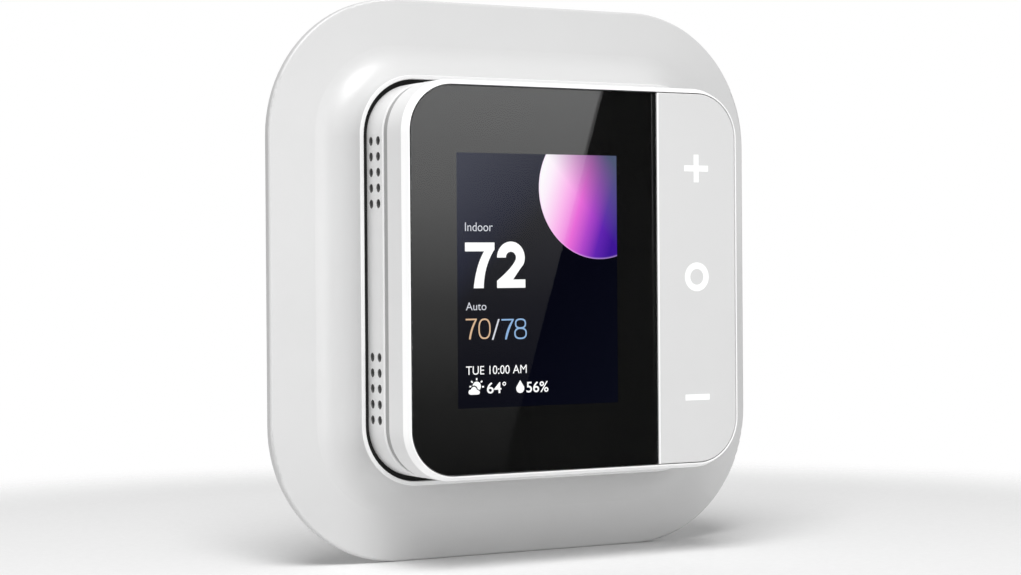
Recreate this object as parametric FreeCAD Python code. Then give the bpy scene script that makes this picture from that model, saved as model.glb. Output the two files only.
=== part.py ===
"""Wall thermostat: trim plate, wired base and pull-off head, one STEP file per piece.

Millimetres. X is right, Y goes into the wall and Z is up. The wall is the plane Y = 0 and
everything stands out of it towards -Y, so depths are given as h, the distance off the wall.
"""

import os
from math import sqrt

import FreeCAD
import Part

V = FreeCAD.Vector

# Outline. Every rounded square on the object shares the same four corner centres.
CORNER = 35.3            # corner centres at (+-CORNER, +-CORNER)
PLATE = 70.0             # half width of the trim plate
LIP_OUT = 50.4           # collar lip, outer and inner half width
LIP_IN = 49.3
BODY = 48.0              # half width of the head
GLASS = 46.6             # half width of the glass

# Depths off the wall
RIM_H = 2.2              # trim plate at its outer edge
SHOULDER_H = 3.28        # trim plate where the flare starts
SHOULDER_D = 58.4
LIP_H = 12.1
FLOOR_H = 2.0            # floor of the trim plate inside the collar
BASE_H = 3.8             # top of the base plate's floor
BASE_PCB_H = 4.8
BLOCK_H = 9.4            # top of the terminal blocks
WEB_H = (10.2, 11.8)     # partition of the rear shell
PCB_H = (17.4, 19.0)     # main board
REAR_TOP_H = 19.3
FRONT_LOW_H = 21.7       # the groove lies between these two
GROOVE_D = 47.6          # half width at the bottom of the groove
LEDGE_H = 29.4           # seat of the glass
PRINT_H = 29.54
GLASS_LOW_H = 29.69
FACE_H = 31.24

# Wall side
SCREW_SPACING = 83.3     # vertical wall box spacing
WALL_HOLE_R = 2.1
TRIM_OPENING = (23.0, 18.0)      # half width, half height
BASE_OPENING = (20.5, 15.5)
BASE_HALF = 45.8
BASE_SCREWS = [(x, z) for x in (-41.2, 41.2) for z in (-28.0, 28.0)]
BLOCK_X = (24.0, 37.0)
LEVER_X = 32.5
LEVER_PITCH = 8.6
PIN_PITCH = 2.54
PINS = [(PIN_PITCH * (i - 4.5), z) for i in range(10) for z in (-28.77, -26.23)]

# Head
WALL_T = 1.6
BOSSES = [(x, z) for x in (-40.4, 40.4) for z in (-40.4, 40.4)]
STANDOFFS = [(-41.0, 0.0), (41.0, 0.0), (0.0, -41.0), (0.0, 41.0)]
VENT_R = 1.1
VENT_T = 0.8             # the wall is thinned to this round the vents
VENT_H = (13.1, 16.9)
VENT_Z = [s * 26.1 + 3.79 * (i - 2) for s in (-1, 1) for i in range(5)]
GLASS_END_X = 22.68      # the glass stops here and the key panel starts a gap further on
WINDOW = (-33.8, 11.45, -30.7, 30.5)     # x0, x1, z0, z1 of the clear window
LCD = (-38.0, 14.6, -37.5, 34.5)

# Keys
KEY_X = 23.1
KEY_HALF = 46.55
KEY_CHAMFER = 0.32       # along the edge beside the glass
KEY_MID_X = 34.7
KEY_Z = 27.7             # plus and minus domes
PIVOT_H = 28.2
PLUNGER_H = 23.8


def box(x0, x1, h0, h1, z0, z1):
    return Part.makeBox(x1 - x0, h1 - h0, z1 - z0, V(x0, -h1, z0))


def rod(x, z, r, h0, h1):
    """Cylinder standing off the wall."""
    return Part.makeCylinder(r, h1 - h0, V(x, -h0, z), V(0, -1, 0))


def bar(r, x0, x1, h, z):
    """Cylinder lying along X."""
    return Part.makeCylinder(r, x1 - x0, V(x0, -h, z), V(1, 0, 0))


def slab(x0, x1, z0, z1, r, h0, h1):
    """Flat plate with rounded corners."""
    s = box(x0, x1, h0, h1, z0, z1)
    if not r:
        return s
    return s.makeFillet(r, [e for e in s.Edges if abs(e.tangentAt(e.FirstParameter).y) > 0.99])


def square(half, h0, h1):
    """Plate that shares the object's corner centres."""
    return slab(-half, half, -half, half, half - CORNER, h0, h1)


def fuse(*shapes):
    return shapes[0].fuse(list(shapes[1:])).removeSplitter()


def cut(shape, *tools):
    return shape.cut(list(tools)) if tools else shape


def outline(points, place):
    """Face from (a, b) points; a (mid a, mid b, a, b) entry is an arc through the middle point."""
    edges, here = [], points[0]
    for p in points[1:] + points[:1]:
        if len(p) == 4:
            edges.append(Part.Arc(place(*here), place(*p[:2]), place(*p[2:])).toShape())
            here = p[2:]
        else:
            edges.append(Part.makeLine(place(*here), place(*p)))
            here = p
    return Part.Face(Part.Wire(edges))


def swept(points):
    """Profile of (half width, h) points carried round the rounded square."""
    face = outline(points, lambda d, h: V(CORNER, -h, d))
    side = face.extrude(V(-2 * CORNER, 0, 0))
    corner = face.revolve(V(CORNER, 0, CORNER), V(0, 1, 0), 90)
    parts = []
    for quarter in range(4):
        for piece in (side, corner):
            turned = piece.copy()
            turned.rotate(V(0, 0, 0), V(0, 1, 0), 90 * quarter)
            parts.append(turned)
    return fuse(*parts)


def mirrored(shape):
    return shape.mirror(V(0, 0, 0), V(1, 0, 0))


def soft_edges(shape, r, where):
    """Fillet the edges whose middle passes the test where(x, h, z)."""
    picked = []
    for e in shape.Edges:
        m = e.valueAt((e.FirstParameter + e.LastParameter) / 2)
        if where(m.x, -m.y, m.z):
            picked.append(e)
    return shape.makeFillet(r, picked)


# ---------------------------------------------------------------- wall side

def trim_plate():
    """Square plate with a flared collar round a well, and a floor with the wire opening."""
    slope = (SHOULDER_H - RIM_H) / (PLATE - 0.7 - SHOULDER_D)
    n = sqrt(1 + slope * slope)
    radius = (SHOULDER_D - LIP_OUT) / (1 - slope / n)
    cx, ch = SHOULDER_D + radius * slope / n, SHOULDER_H + radius / n
    k = radius / sqrt(2)
    low = 11.85
    under = radius + 1.6

    def roof(d):
        return ch - sqrt(under * under - (cx - d) ** 2)

    ring = swept([
        (LIP_IN, 0), (51.6, 0), (51.6, roof(51.6)), (55, roof(55), 58, roof(58)), (58, 0),
        (PLATE, 0), (PLATE, RIM_H - 0.7), (PLATE - 0.2, RIM_H - 0.2, PLATE - 0.7, RIM_H),
        (SHOULDER_D, SHOULDER_H),
        (cx - k, ch - k, cx - sqrt(radius ** 2 - (ch - low) ** 2), low),
        (LIP_OUT - 0.08, LIP_H - 0.07, LIP_OUT - 0.3, LIP_H), (LIP_IN + 0.3, LIP_H),
        (LIP_IN + 0.08, LIP_H - 0.07, LIP_IN, low)])
    w, t = TRIM_OPENING
    floor = cut(square(LIP_IN + 0.6, 0, FLOOR_H), slab(-w, w, -t, t, 3, -1, 3))
    holes = [rod(0, s * SCREW_SPACING / 2, WALL_HOLE_R, -1, 3) for s in (-1, 1)]
    holes += [rod(x, z, 1.1, 0.5, 3) for x, z in BASE_SCREWS]
    return cut(fuse(ring, floor), *holes)


def base_plate():
    """Wired base: floor, rim with reliefs at the wall screws and latches, and stiffening ribs."""
    floor = square(BASE_HALF, FLOOR_H, BASE_H)
    rim = cut(square(BASE_HALF, BASE_H, 8.6), square(BASE_HALF - 1.4, 3, 9))
    w, t = BASE_OPENING
    reliefs = [box(-6, 6, BASE_H, 9, z, z + 4) for z in (-47, 43)]
    reliefs += [box(x, x + 4, BASE_H, 9, -7, 7) for x in (-47, 43)]
    ribs = [box(x - 0.5, x + 0.5, BASE_H, 6.6, z, z + 9) for x in (-30, -15, 15, 30) for z in (-45, 36)]
    holes = [rod(0, s * SCREW_SPACING / 2, WALL_HOLE_R, 1, 5) for s in (-1, 1)]
    holes += [rod(x, z, 1.5, 1, 5) for x, z in BASE_SCREWS]
    return cut(fuse(floor, cut(rim, *reliefs), *ribs), slab(-w, w, -t, t, 2, 1, 5), *holes)


def pan_screw(x, z, r, head_r, tip_h, seat_h, head_h, outwards=True):
    """Pan head screw with a cross recess. The head is on the room side, or behind if not outwards."""
    top = seat_h + head_h if outwards else seat_h - head_h
    head = rod(x, z, head_r, min(seat_h, top), max(seat_h, top))
    head = soft_edges(head, min(0.5, head_h * 0.4), lambda _x, h, _z: abs(h - top) < 1e-6)
    shank = rod(x, z, r, min(tip_h, seat_h), max(tip_h, seat_h))
    deep = top - 0.7 if outwards else top + 0.7
    lo, hi = min(deep, top) - 0.001, max(deep, top) + 0.001
    a, b = head_r * 0.55, head_r * 0.14
    return cut(fuse(shank, head), box(x - a, x + a, lo, hi, z - b, z + b),
               box(x - b, x + b, lo, hi, z - a, z + a))


def base_screws():
    return Part.makeCompound([pan_screw(x, z, 1.1, 2.4, 0.6, BASE_H, 1.6) for x, z in BASE_SCREWS])


def base_board():
    board = slab(-38, 38, -34, 29, 2, BASE_H, BASE_PCB_H)
    return cut(board, slab(-21.5, 21.5, -16.5, 16.5, 2, 3, 5))


def lever_rows():
    return [LEVER_PITCH * (i - 2) for i in range(5)]


def terminal_block():
    """Right-hand block of five push-lever terminals; wires go in from the opening's side."""
    x0, x1 = BLOCK_X
    block = soft_edges(box(x0, x1, BASE_PCB_H, BLOCK_H, -22.5, 22.5), 0.5,
                       lambda x, h, z: h > BLOCK_H - 0.1)
    tools = []
    for z in lever_rows():
        tools.append(box(LEVER_X - 2.3, LEVER_X + 2.3, BASE_PCB_H - 1, 7.9, z - 3.3, z + 3.3))
        tools.append(box(LEVER_X - 1.8, LEVER_X + 1.8, 7, 10, z - 2.8, z + 2.8))
        tools.append(bar(1.9, x0 + 1.4, x0 + 5.0, 6.9, z))
        tools.append(Part.makeCone(1.7, 1.25, 1.4, V(x0, -6.9, z), V(1, 0, 0)))
        tools.append(bar(1.25, x0 + 4, LEVER_X - 2, 6.9, z))
    tools += [box(x0 - 1, x0 + 5.4, 9.0, 10, z - 0.25, z + 0.25)
              for z in [LEVER_PITCH * (i - 1.5) for i in range(4)]]
    return cut(block, *tools)


def terminal_clamps():
    """Brass sleeve behind each wire entry, with a slit that lets it close on the wire."""
    x0 = BLOCK_X[0]
    found = []
    for z in lever_rows():
        sleeve = cut(bar(1.9, x0 + 1.4, x0 + 5.0, 6.9, z), bar(1.25, x0, x0 + 6, 6.9, z),
                     box(x0, x0 + 6, 6.6, 7.2, z + 1, z + 2.5))
        found += [sleeve, mirrored(sleeve)]
    return Part.makeCompound(found)


def lever(side, z):
    """Push lever: a finger pad on a stem, kept in by a wider foot."""
    x = side * LEVER_X
    pad = soft_edges(box(x - 1.5, x + 1.5, 7.6, 9.85, z - 2.5, z + 2.5), 0.4,
                     lambda _x, h, _z: h > 9.8)
    grips = [box(x - 2, x + 2, 9.6, 10, z + o - 0.2, z + o + 0.2) for o in (-1.2, 0, 1.2)]
    return fuse(box(x - 2, x + 2, 6.4, 7.6, z - 3, z + 3), cut(pad, *grips))


def base_socket():
    body = soft_edges(box(-14.5, 14.5, BASE_PCB_H, BLOCK_H, -31.2, -23.8), 0.4,
                      lambda x, h, z: h > BLOCK_H - 0.1)
    return cut(body, *[rod(x, z, 0.42, 5.3, 10) for x, z in PINS])


def jumper_housing():
    body = box(-9, 9, BASE_PCB_H, 8.4, 19, 26)
    return cut(body, box(-4.4, 4.4, 5.6, 7.4, 20.3, 24.7), box(-3.0, 3.0, 7, 9, 21.2, 23.8))


def jumper_slider():
    knob = box(-2.7, -0.3, 7.1, 9.3, 21.5, 23.5)
    grips = [box(x - 0.15, x + 0.15, 9.0, 10, 21, 24) for x in (-2.1, -1.5, -0.9)]
    return fuse(box(-4.1, 1.1, 5.9, 7.1, 20.6, 24.4), cut(knob, *grips))


def latch_springs():
    """Two steel leaves that hold the head by a shallow recess in its skirt."""
    leaf = outline([(41.6, BASE_H), (45.75, BASE_H), (45.75, 5.6), (46.65, 6.5, 45.75, 7.4),
                    (45.75, 8.4), (45.35, 8.4), (45.35, 7.3), (46.2, 6.5, 45.35, 5.7),
                    (45.35, 4.2), (41.6, 4.2)], lambda x, h: V(x, -h, -5))
    leaf = leaf.extrude(V(0, 0, 10))
    return Part.makeCompound([leaf, mirrored(leaf)])


# ---------------------------------------------------------------- head

def rear_shell():
    """Skirt that goes into the collar, partition, vents at both sides and board standoffs."""
    skirt = swept([
        (BODY - WALL_T, 4.4), (BODY - 0.4, 4.4), (BODY, 4.8), (BODY, REAR_TOP_H - 0.3),
        (BODY - 0.09, REAR_TOP_H - 0.09, BODY - 0.3, REAR_TOP_H), (47.0, REAR_TOP_H),
        (47.0, 18.1), (BODY - WALL_T, 18.1)])
    web = cut(square(BODY - WALL_T + 0.3, *WEB_H), box(-16, 16, 10, 12, -32, -23))
    posts = [rod(x, z, 2.5, WEB_H[0], PCB_H[0]) for x, z in STANDOFFS]
    ribs = [box(-22, 22, 11, 12.2, z - 0.5, z + 0.5) for z in (20.0, 36.0)]
    ribs += [box(x - 0.5, x + 0.5, 11, 12.2, -20, 36) for x in (-22.0, 22.0)]
    tools = [rod(x, z, 1.0, 13, 18) for x, z in STANDOFFS]
    tools += [rod(x, z, 1.5, 10, 12) for x, z in BOSSES]
    tools += [bar(VENT_R, s * BODY - 2.5, s * BODY + 2.5, h, z)
              for s in (-1, 1) for h in VENT_H for z in VENT_Z]
    tools += [box(s * 46.7 - 0.35, s * 46.7 + 0.35, 5.2, 7.8, -6, 6) for s in (-1, 1)]
    tools += [box(*sorted((s * 46, s * (BODY - VENT_T))), WEB_H[1], 18.1, z - 10, z + 10)
              for s in (-1, 1) for z in (-26.1, 26.1)]
    return cut(fuse(skirt, web, *posts, *ribs), *tools)


def draught_seal():
    """Black foam ring round the skirt that closes the gap to the collar, so that no wall air gets past."""
    return swept([(BODY, 9.8), (LIP_IN - 0.15, 9.8), (LIP_IN - 0.15, 10.95), (BODY, 10.95)])


def front_shell():
    """Bezel ring with the tongue that makes the groove, glass seat, divider and screw bosses."""
    ring = swept([
        (46.95, 18.35), (46.95, REAR_TOP_H + 0.06), (GROOVE_D, REAR_TOP_H + 0.06), (GROOVE_D, FRONT_LOW_H),
        (BODY - 0.15, FRONT_LOW_H), (BODY, FRONT_LOW_H + 0.15), (BODY, 29.0), (BODY - 0.04, 29.12),
        (BODY - 0.86, 31.0), (BODY - 0.93, 31.17, BODY - 1.08, FACE_H), (46.82, FACE_H),
        (46.75, FACE_H - 0.07), (46.75, LEDGE_H), (44.6, LEDGE_H), (44.6, 28.2), (45.4, 27.4),
        (45.4, 18.35)])
    bosses = [rod(x, z, 3.3, 12.1, 26) for x, z in BOSSES]
    divider = box(20.8, 22.3, 24.2, LEDGE_H, -45.6, 45.6)
    shelves = [square(45.7, 22.2, 23.6).common(box(24, 46, 22, 24, z, z + 4.5)) for z in (-46, 41.5)]
    tools = [cut(box(22.3, 46.75, 27.4, LEDGE_H + 0.2, -46.75, 46.75), *corner_blocks(46.75))]
    tools += [rod(x, z, 1.25, 12, 21) for x, z in BOSSES]
    tools += [rod(30, z, 0.9, 22, 23.2) for z in (-43.5, 43.5)]
    return cut(fuse(ring, divider, *bosses, *shelves), *tools)


def corner_blocks(half):
    """What lies outside the rounded corners of a square of this half width, on the right."""
    r = half - CORNER
    found = []
    for s in (-1, 1):
        z0, z1 = sorted((s * CORNER, s * (half + 1)))
        found.append(cut(box(CORNER, half + 1, 20, 32, z0, z1), rod(CORNER, s * CORNER, r, 19, 33)))
    return found


def glass_shape(half, end_x, h0, h1):
    return cut(square(half, h0, h1), box(end_x, half + 1, h0 - 1, h1 + 1, -half - 1, half + 1))


def cover_glass():
    glass = glass_shape(GLASS, GLASS_END_X, GLASS_LOW_H, FACE_H)
    return soft_edges(glass, 0.15, lambda x, h, z: h > FACE_H - 0.01)


def window(h0, h1, grow=0.0):
    x0, x1, z0, z1 = WINDOW
    return box(x0 - grow, x1 + grow, h0, h1, z0 - grow, z1 + grow)


def glass_print():
    """Black border on the back of the glass."""
    return cut(glass_shape(GLASS - 0.05, GLASS_END_X - 0.05, PRINT_H, GLASS_LOW_H), window(29, 30))


def glass_tape():
    """Adhesive: one ring on the glass seat, one ring round the display."""
    seat = cut(glass_shape(GLASS - 0.3, 22.2, LEDGE_H, PRINT_H), glass_shape(44.7, 20.9, 29, 30))
    x0, x1, z0, z1 = LCD
    ring = cut(box(x0, x1, 29.34, PRINT_H, z0, z1), window(29, 30, 0.6))
    return Part.makeCompound([seat, ring])


def lcd_frame():
    x0, x1, z0, z1 = LCD
    tray = cut(slab(x0, x1, z0, z1, 0.8, 25.3, 29.34), box(x0 + 0.4, x1 - 0.4, 25.6, 30, z0 + 0.4, z1 - 0.4))
    ears = [box(x - 3, x + 3, 25.3, 25.6, z, z + 3.2) for x in (-30, 6) for z in (z0 - 3, z1 - 0.2)]
    slot = box(-20, -3.4, 27.6, 30, z0 - 1, z0 + 1)
    return cut(fuse(tray, *ears), slot)


def lcd_slab(h0, h1):
    x0, x1, z0, z1 = LCD
    return box(x0 + 0.5, x1 - 0.5, h0, h1, z0 + 0.5, z1 - 0.5)


def lcd_flex():
    """Ribbon from the foot of the display, bent back to its connector on the main board."""
    ribbon = outline([(-37.0, 28.3), (-39.4, 28.3), (-40.32, 27.92, -40.7, 27.0), (-40.7, 19.9),
                      (-40.5, 19.9), (-40.5, 27.0), (-40.18, 27.78, -39.4, 28.1), (-37.0, 28.1)],
                     lambda z, h: V(-19.2, -h, z))
    return ribbon.extrude(V(15, 0, 0))


def lcd_connector():
    body = soft_edges(box(-20.2, -3.2, PCB_H[1], 20.9, -42.2, -39.0), 0.2, lambda x, h, z: h > 20.8)
    return cut(body, box(-19.2, -4.2, 19.9, 21, -40.7, -40.5))


def main_board():
    board = slab(-44.8, 44.8, -44.8, 44.8, 9.5, *PCB_H)
    tools = [rod(x, z, 3.7, 17, 20) for x, z in BOSSES]
    tools += [rod(x, z, 1.2, 17, 20) for x, z in STANDOFFS]
    tools += [rod(x, z, 0.32, 17, 20) for x, z in PINS]
    return cut(board, *tools)


def board_screws():
    return Part.makeCompound([pan_screw(x, z, 0.98, 1.9, 13.3, PCB_H[1], 1.3) for x, z in STANDOFFS])


def head_screws():
    return Part.makeCompound(
        [pan_screw(x, z, 1.25, 2.5, 20.0, WEB_H[0], 1.6, outwards=False) for x, z in BOSSES])


def chip(x0, x1, h1, z0, z1, dot=True):
    """Chip on the front of the board with a first-pin mark."""
    body = soft_edges(box(x0, x1, PCB_H[1], h1, z0, z1), 0.15, lambda x, h, z: h > h1 - 0.01)
    return cut(body, rod(x0 + 1.4, z1 - 1.4, 0.5, h1 - 0.1, h1 + 1)) if dot else body


def wifi_shield():
    can = soft_edges(box(-41, -27, 19.8, 22.0, 12, 27), 0.4, lambda x, h, z: h > 21.9)
    return cut(can, box(-40.8, -27.2, 19, 21.8, 12.2, 26.8))


def relays():
    """Six latching relays on the back of the main board, in two rows of three."""
    found = []
    for x in (-16.5, 0.0, 16.5):
        for z in (-8.0, 8.0):
            found.append(soft_edges(box(x - 7, x + 7, 12.6, PCB_H[0], z - 4.6, z + 4.6), 0.4,
                                    lambda _x, h, _z: h < 12.7))
    return Part.makeCompound(found)


def capacitors():
    """Round capacitors on the back of the main board."""
    found = []
    for x, z, r in ((-29.5, 27.0, 3.2), (-29.5, 35.0, 3.2), (30.0, -30.0, 3.6), (31.0, 30.0, 4.0)):
        can = rod(x, z, r, 12.5, PCB_H[0])
        can = soft_edges(can, 0.4, lambda _x, h, _z: h < 12.6)
        found.append(cut(can, box(x - r, x + r, 12.4, 12.65, z - 0.1, z + 0.1)))
    return Part.makeCompound(found)


def header_pins():
    pins = []
    for x, z in PINS:
        pin = soft_edges(rod(x, z, 0.32, 5.8, 20.0), 0.12, lambda _x, h, _z: h < 6)
        pins.append(pin)
    return Part.makeCompound(pins)


def pin_header():
    body = box(-13.2, 13.2, 14.9, PCB_H[0], -30.3, -24.7)
    return cut(body, *[rod(x, z, 0.32, 14, 18) for x, z in PINS])


def key_frame():
    """Plate behind the keys, with the posts that the key carrier slides on."""
    plate = square(44.9, 21.0, 22.2).common(box(24.4, 46, 20, 23, -46, 46))
    plate = cut(plate, *[rod(40.4, z, 3.7, 20, 23) for z in (-40.4, 40.4)],
                *[rod(30, z, 1.0, 20, 23) for z in (-43.5, 43.5)],
                box(29, 41, 20, 23, -39, -35.5), box(29, 41, 20, 23, 35.5, 39))
    posts = [rod(x, z, 1.1, 22, 26.8) for x, z in guide_posts()]
    return fuse(plate, *posts)


def guide_posts():
    return [(x, z) for x in (30.2, 39.2) for z in (-9.5, 9.5)]


def key_board():
    board = slab(26.2, 43.2, -33, 33, 1, 22.2, 23.0)
    return cut(board, *[rod(x, z, 1.1, 22, 24) for x, z in guide_posts()])


def key_frame_screws():
    return Part.makeCompound([pan_screw(30, z, 0.9, 1.8, 23.1, 21.0, 1.0, outwards=False)
                              for z in (-43.5, 43.5)])


def dome(z):
    """Snap dome: a shallow steel cap."""
    profile = outline([(0, 23.7), (0.6, 23.7), (1.9, 23.5), (2.9, 23.0), (2.6, 23.0), (1.7, 23.38),
                       (0.6, 23.56), (0, 23.56)],
                      lambda r, h: V(KEY_MID_X + r, -h, z))
    return profile.revolve(V(KEY_MID_X, 0, z), V(0, 1, 0), 360)


def key_carrier():
    """Sliding plate that carries the rocking panel on two ears."""
    plate = slab(27.0, 42.4, -13, 13, 2, 24.6, 25.6)
    plate = cut(plate, *[rod(x, z, 1.2, 24, 26) for x, z in guide_posts()])
    ears = [box(x, x + 1.8, 25.4, 29.1, -2, 2) for x in (27.6, 40.0)]
    foot = rod(KEY_MID_X, 0, 1.5, PLUNGER_H, 25)
    return cut(fuse(plate, foot, *ears), bar(0.75, 27, 42.5, PIVOT_H, 0))


def key_pivot_pin():
    return bar(0.75, 27.5, 41.9, PIVOT_H, 0)


def symbol_shapes(h0, h1):
    """Plus, ring and minus in order from the top."""
    x = KEY_MID_X
    plus = fuse(box(x - 3.65, x + 3.65, h0, h1, KEY_Z - 0.75, KEY_Z + 0.75),
                box(x - 0.75, x + 0.75, h0, h1, KEY_Z - 3.5, KEY_Z + 3.5))
    ring = cut(rod(x, 0.3, 3.65, h0, h1), rod(x, 0.3, 2.0, h0 - 1, h1 + 1))
    minus = box(x - 3.7, x + 3.7, h0, h1, -KEY_Z - 3.2, -KEY_Z - 1.7)
    return plus, ring, minus


def key_panel():
    """The strip beside the glass: plus, select and minus in one rocking panel."""
    panel = cut(square(KEY_HALF, GLASS_LOW_H, FACE_H), box(-60, KEY_X, 29, 32, -60, 60))
    panel = soft_edges(panel, 0.28, lambda x, h, z: h > FACE_H - 0.01 and x > KEY_X + 0.01)
    bevel = outline([(KEY_X - 1, FACE_H + 1), (KEY_X - 1, FACE_H - KEY_CHAMFER - 1),
                     (KEY_X + KEY_CHAMFER + 1, FACE_H + 1)], lambda x, h: V(x, -h, -50))
    panel = cut(panel, bevel.extrude(V(0, 0, 100)))
    rim = cut(square(KEY_HALF - 1.4, 28.9, 29.8), square(KEY_HALF - 2.4, 28, 30),
              box(-60, KEY_X + 0.6, 28, 30, -60, 60))
    rim = cut(rim, box(20, 50, 28, 30, -8, 8))
    lugs = [box(x, x + 1.6, 26.9, 29.8, -2.2, 2.2) for x in (29.8, 38.0)]
    feet = [rod(KEY_MID_X, z, 1.5, PLUNGER_H, 29.8) for z in (-KEY_Z, KEY_Z)]
    panel = fuse(panel, rim, *lugs, *feet)
    return cut(panel, bar(0.82, 29, 41, PIVOT_H, 0), *symbol_shapes(FACE_H - 0.3, FACE_H + 1))


# ---------------------------------------------------------------- parts

def all_parts():
    plus, ring, minus = symbol_shapes(FACE_H - 0.3, FACE_H)
    block = terminal_block()
    parts = {
        "trim_plate": trim_plate(),
        "base_plate": base_plate(),
        "base_screws": base_screws(),
        "base_board": base_board(),
        "base_socket": base_socket(),
        "terminal_block_right": block,
        "terminal_block_left": mirrored(block),
        "terminal_clamps": terminal_clamps(),
        "jumper_housing": jumper_housing(),
        "jumper_slider": jumper_slider(),
        "latch_springs": latch_springs(),
        "rear_shell": rear_shell(),
        "draught_seal": draught_seal(),
        "front_shell": front_shell(),
        "cover_glass": cover_glass(),
        "glass_print": glass_print(),
        "glass_tape": glass_tape(),
        "lcd_panel": lcd_slab(28.1, 29.34),
        "lcd_backlight": lcd_slab(25.6, 28.1),
        "lcd_frame": lcd_frame(),
        "lcd_flex": lcd_flex(),
        "lcd_connector": lcd_connector(),
        "main_board": main_board(),
        "board_screws": board_screws(),
        "head_screws": head_screws(),
        "processor": chip(-22, -8, 20.2, 2, 16),
        "memory_chip": chip(-4, 4, 20.0, 4, 14),
        "wifi_module": slab(-42, -26, 11, 36, 0.5, PCB_H[1], 19.8),
        "wifi_shield": wifi_shield(),
        "buzzer": cut(soft_edges(rod(10, 34, 4.8, PCB_H[1], 22.4), 0.4, lambda x, h, z: h > 22.3),
                      rod(10, 34, 0.9, 22, 23)),
        "relays": relays(),
        "capacitors": capacitors(),
        "pin_header": pin_header(),
        "header_pins": header_pins(),
        "sensor_board": box(-44.8, -44.0, 12.4, PCB_H[0], -33, -19),
        "humidity_sensor": cut(box(-45.8, -44.8, 13.6, 16.4, -27.5, -24.5),
                               bar(0.5, -46, -45.4, 15, -26)),
        "sensor_baffle": box(-43.4, -41.8, WEB_H[1], PCB_H[0], -36, -16),
        "key_frame": key_frame(),
        "key_frame_screws": key_frame_screws(),
        "key_board": key_board(),
        "dome_plus": dome(KEY_Z),
        "dome_select": dome(0),
        "dome_minus": dome(-KEY_Z),
        "key_carrier": key_carrier(),
        "key_pivot_pin": key_pivot_pin(),
        "key_panel": key_panel(),
        "key_symbol_plus": plus,
        "key_symbol_select": ring,
        "key_symbol_minus": minus,
    }
    for side, name in ((-1, "left"), (1, "right")):
        for i, z in enumerate(lever_rows()):
            parts[f"lever_{name}_{i + 1}"] = lever(side, z)
    return parts


os.makedirs("parts", exist_ok=True)
for node, shape in all_parts().items():
    if not shape.isValid():
        print("not valid:", node)
    if not all(s.Volume > 0 for s in shape.Solids) or not shape.Solids:
        print("no volume:", node)
    print(f"{node:22s} solids {len(shape.Solids):2d} volume {shape.Volume:9.1f}")
    shape.exportStep(f"parts/{node}.step")
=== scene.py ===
# %% [markdown]
# # A wall thermostat
# The object has three layers: a flared trim plate on the wall, a wired base inside its collar, and a head
# that pulls off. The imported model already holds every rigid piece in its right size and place, so this
# script gives those pieces their finishes, draws the lit display, and sets up light and camera. X is
# right, Y goes into the wall and Z is up. The room side of everything faces -Y.

# %% Load the frame
import bpy
from math import acos, asin, atan, cos, degrees, pi, radians, sin
from mathutils import Matrix, Vector


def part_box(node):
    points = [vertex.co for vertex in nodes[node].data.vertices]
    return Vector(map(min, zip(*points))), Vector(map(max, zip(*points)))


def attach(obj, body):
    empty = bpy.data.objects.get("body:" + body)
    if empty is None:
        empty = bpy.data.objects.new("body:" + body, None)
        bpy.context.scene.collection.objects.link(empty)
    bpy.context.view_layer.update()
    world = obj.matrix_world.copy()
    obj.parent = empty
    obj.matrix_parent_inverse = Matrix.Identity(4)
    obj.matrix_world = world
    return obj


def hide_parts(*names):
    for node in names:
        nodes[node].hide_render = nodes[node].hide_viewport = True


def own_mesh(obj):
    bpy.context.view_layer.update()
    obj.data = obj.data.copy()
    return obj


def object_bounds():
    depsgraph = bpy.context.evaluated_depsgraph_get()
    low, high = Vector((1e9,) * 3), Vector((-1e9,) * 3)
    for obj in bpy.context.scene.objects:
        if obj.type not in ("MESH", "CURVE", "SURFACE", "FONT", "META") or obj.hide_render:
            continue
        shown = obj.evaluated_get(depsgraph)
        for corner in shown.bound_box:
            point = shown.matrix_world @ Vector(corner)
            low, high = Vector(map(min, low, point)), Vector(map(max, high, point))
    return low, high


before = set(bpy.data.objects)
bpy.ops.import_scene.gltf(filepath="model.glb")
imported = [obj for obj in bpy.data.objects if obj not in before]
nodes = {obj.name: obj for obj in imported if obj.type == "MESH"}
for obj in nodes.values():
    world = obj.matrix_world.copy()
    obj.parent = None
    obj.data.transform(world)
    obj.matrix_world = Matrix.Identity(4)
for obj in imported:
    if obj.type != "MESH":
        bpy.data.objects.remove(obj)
cad_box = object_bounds()
MM = 0.001

# %% [markdown]
# **Colours.** People read colours as hex codes in sRGB. A shader adds up light, so it needs linear
# numbers. One function turns the first into the second, and another gives a darker shade of the same.

# %% Colours


def linear(hex_colour):
    """sRGB hex such as F4F4F2 to linear red, green, blue and alpha."""
    parts = [int(hex_colour[i:i + 2], 16) / 255 for i in (0, 2, 4)]
    return tuple(c / 12.92 if c <= 0.04045 else ((c + 0.055) / 1.055) ** 2.4 for c in parts) + (1,)


def darker(colour, share):
    """The same colour at this share of its light."""
    return tuple(c * share for c in colour[:3]) + (1,)


BLACK, WHITE = (0, 0, 0, 1), (1, 1, 1, 1)
print("808080 looks half as bright as white, and is", round(linear("808080")[0], 3), "of its light")

# %% [markdown]
# **Nodes.** Every finish below is a small graph of nodes round one Principled shader. Written out call by
# call, the settings would drown in brackets. So one helper adds a node, with its settings, its links and
# the stops of its colour ramp if it is one. Most patterns read the object's own coordinates, in metres,
# so that they stick to a piece when it moves.

# %% Nodes


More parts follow.
